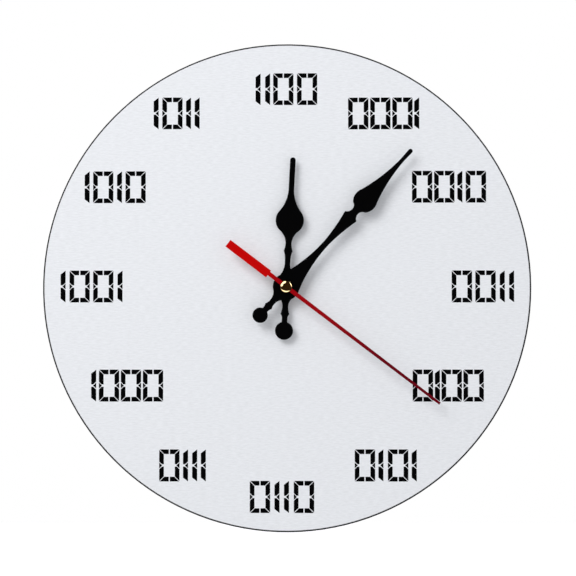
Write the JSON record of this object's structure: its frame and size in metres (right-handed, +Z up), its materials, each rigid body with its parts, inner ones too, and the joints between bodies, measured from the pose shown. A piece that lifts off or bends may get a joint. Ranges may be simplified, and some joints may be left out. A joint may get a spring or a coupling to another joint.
{
  "type": "binary wall clock",
  "caption": "Round frameless wall clock with serpentine black hands, a red second hand, a composite sheet dial for binary hour numbers, and a quartz movement behind.",
  "frame": {"origin": "on the hands' axis, in the plane of the movement's rear face, which lies against the wall", "axes": "+Z up the dial towards twelve, -Y out of the dial towards the viewer, +X towards three o'clock"},
  "size_m": [0.305, 0.0317, 0.305],
  "materials": {
    "face_coat": "brushed aluminium skin with a clear satin coat",
    "core_plastic": "black polyethylene core",
    "rear_coat": "mill finish aluminium skin",
    "case_plastic": "fine-textured black moulding",
    "knob_plastic": "black moulding with a ribbed rim",
    "brass": "turned brass",
    "rubber": "black rubber",
    "train_plastic": "white acetal moulding",
    "steel": "bright nickel-plated steel",
    "magnet": "dark sintered magnet",
    "bobbin_plastic": "natural moulded plastic",
    "copper": "enamelled copper wire",
    "board": "brown paper laminate with solder mask",
    "blob_resin": "black epoxy",
    "battery_jacket": "printed film over a metal can",
    "black_hand": "stamped aluminium, satin black paint",
    "red_hand": "stamped aluminium, red paint",
    "polished_brass": "polished and lacquered brass"
  },
  "bodies": {
    "movement": {"movement_case": "case_plastic", "back_cover": "case_plastic", "dial_face_skin": "face_coat", "dial_core": "core_plastic", "dial_rear_skin": "rear_coat", "threaded_bush": "brass", "rubber_washer": "rubber", "brass_washer": "brass", "hex_nut": "brass", "gear_bridge": "train_plastic", "circuit_board": "board", "chip_blob": "blob_resin", "quartz_crystal": "steel", "coil_bobbin": "bobbin_plastic", "coil_winding": "copper", "coil_core": "steel", "stator": "steel", "negative_contact": "steel", "positive_contact": "steel"},
    "second_group": {"second_wheel": "train_plastic", "second_arbor": "steel", "second_hand": "red_hand", "second_hand_tube": "brass", "second_hand_cap": "polished_brass"},
    "rotor": {"rotor_magnet": "magnet", "rotor_pinion": "train_plastic"},
    "intermediate": {"intermediate_wheel": "train_plastic"},
    "third": {"third_wheel": "train_plastic"},
    "centre": {"centre_wheel": "train_plastic"},
    "minute_group": {"cannon_pinion": "train_plastic", "minute_hand": "black_hand", "minute_hand_bush": "brass"},
    "minute_work": {"minute_work_wheel": "train_plastic"},
    "hour_group": {"hour_wheel": "train_plastic", "hour_hand": "black_hand", "hour_hand_bush": "brass"},
    "knob": {"setting_knob": "knob_plastic"},
    "battery": {"battery_can": "battery_jacket", "battery_nub": "steel"}
  },
  "joints": [
    {"name": "second_spin", "type": "hinge", "parent": "movement", "child": "second_group", "pos_m": [0, 0, 0], "axis": [0, 1, 0], "continuous": true},
    {"name": "rotor_spin", "type": "hinge", "parent": "movement", "child": "rotor", "pos_m": [0.01519, 0, 0.00501], "axis": [0, 1, 0], "continuous": true},
    {"name": "intermediate_spin", "type": "hinge", "parent": "movement", "child": "intermediate", "pos_m": [0.00846, 0, 0.00308], "axis": [0, 1, 0], "continuous": true},
    {"name": "third_spin", "type": "hinge", "parent": "movement", "child": "third", "pos_m": [0, 0, 0.0108], "axis": [0, 1, 0], "continuous": true},
    {"name": "centre_spin", "type": "hinge", "parent": "movement", "child": "centre", "pos_m": [0, 0, 0], "axis": [0, 1, 0], "continuous": true},
    {"name": "minute_spin", "type": "hinge", "parent": "movement", "child": "minute_group", "pos_m": [0, 0, 0], "axis": [0, 1, 0], "continuous": true},
    {"name": "minute_work_spin", "type": "hinge", "parent": "movement", "child": "minute_work", "pos_m": [-0.0094, 0, 0.00342], "axis": [0, 1, 0], "continuous": true},
    {"name": "hour_spin", "type": "hinge", "parent": "movement", "child": "hour_group", "pos_m": [0, 0, 0], "axis": [0, 1, 0], "continuous": true},
    {"name": "setting_knob_spin", "type": "hinge", "parent": "movement", "child": "knob", "pos_m": [-0.01706, 0, 0.00985], "axis": [0, 1, 0], "continuous": true},
    {"name": "battery_slide", "type": "slide", "parent": "movement", "child": "battery", "axis": [0, 1, 0], "range_m": [0, 0.018]}
  ],
  "couplings": [
    {"joint": "rotor_spin", "follows": "second_spin", "ratio": 30},
    {"joint": "intermediate_spin", "follows": "second_spin", "ratio": -5},
    {"joint": "third_spin", "follows": "second_spin", "ratio": -0.13333},
    {"joint": "centre_spin", "follows": "second_spin", "ratio": 0.016667},
    {"joint": "minute_work_spin", "follows": "minute_spin", "ratio": -0.33333},
    {"joint": "hour_spin", "follows": "minute_spin", "ratio": 0.083333},
    {"joint": "setting_knob_spin", "follows": "minute_spin", "ratio": 1}
  ]
}
